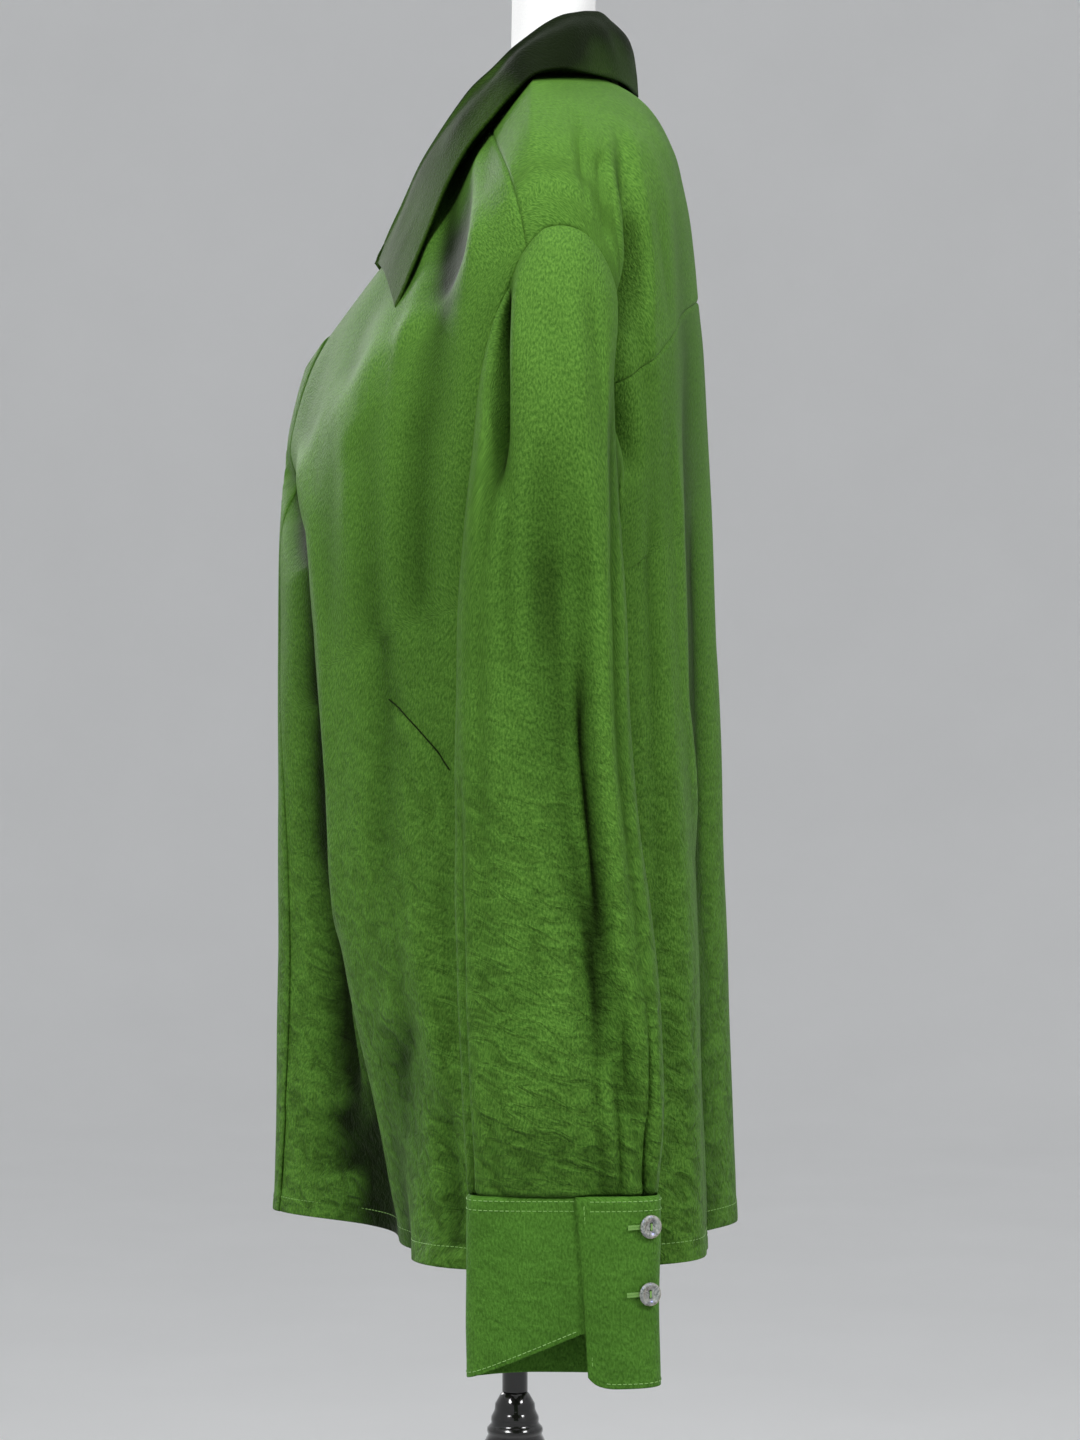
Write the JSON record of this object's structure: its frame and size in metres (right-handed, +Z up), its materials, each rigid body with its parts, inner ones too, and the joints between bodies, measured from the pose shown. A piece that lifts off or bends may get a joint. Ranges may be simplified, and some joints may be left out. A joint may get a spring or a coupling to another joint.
{
  "type": "button-up blouse on a dress form",
  "caption": "Loose long-sleeved satin blouse with open pointed collar and buttoned cuffs, worn by a white limbless dress form on a black turned stand.",
  "frame": {"origin": "on the floor under the axis of the stand's pole", "axes": "+Z up along the pole, -Y out of the front of the blouse, +X to the wearer's left"},
  "size_m": [0.5614, 0.3, 1.432],
  "materials": {
    "satin": "satin",
    "shell": "polished",
    "jersey": "matte",
    "lacquer": "gloss"
  },
  "bodies": {
    "root": {"front_left": "satin", "front_right": "satin", "back": "satin", "yoke": "satin", "collar": "satin", "sleeve_left": "satin", "sleeve_right": "satin", "cuff_left": "satin", "cuff_right": "satin", "cuff_button_left_1": "shell", "cuff_button_left_2": "shell", "cuff_button_right_1": "shell", "cuff_button_right_2": "shell", "dress_form": "jersey", "pole": "lacquer", "stand_knob": "lacquer", "stand_column": "lacquer", "stand_base": "lacquer"}
  },
  "joints": []
}
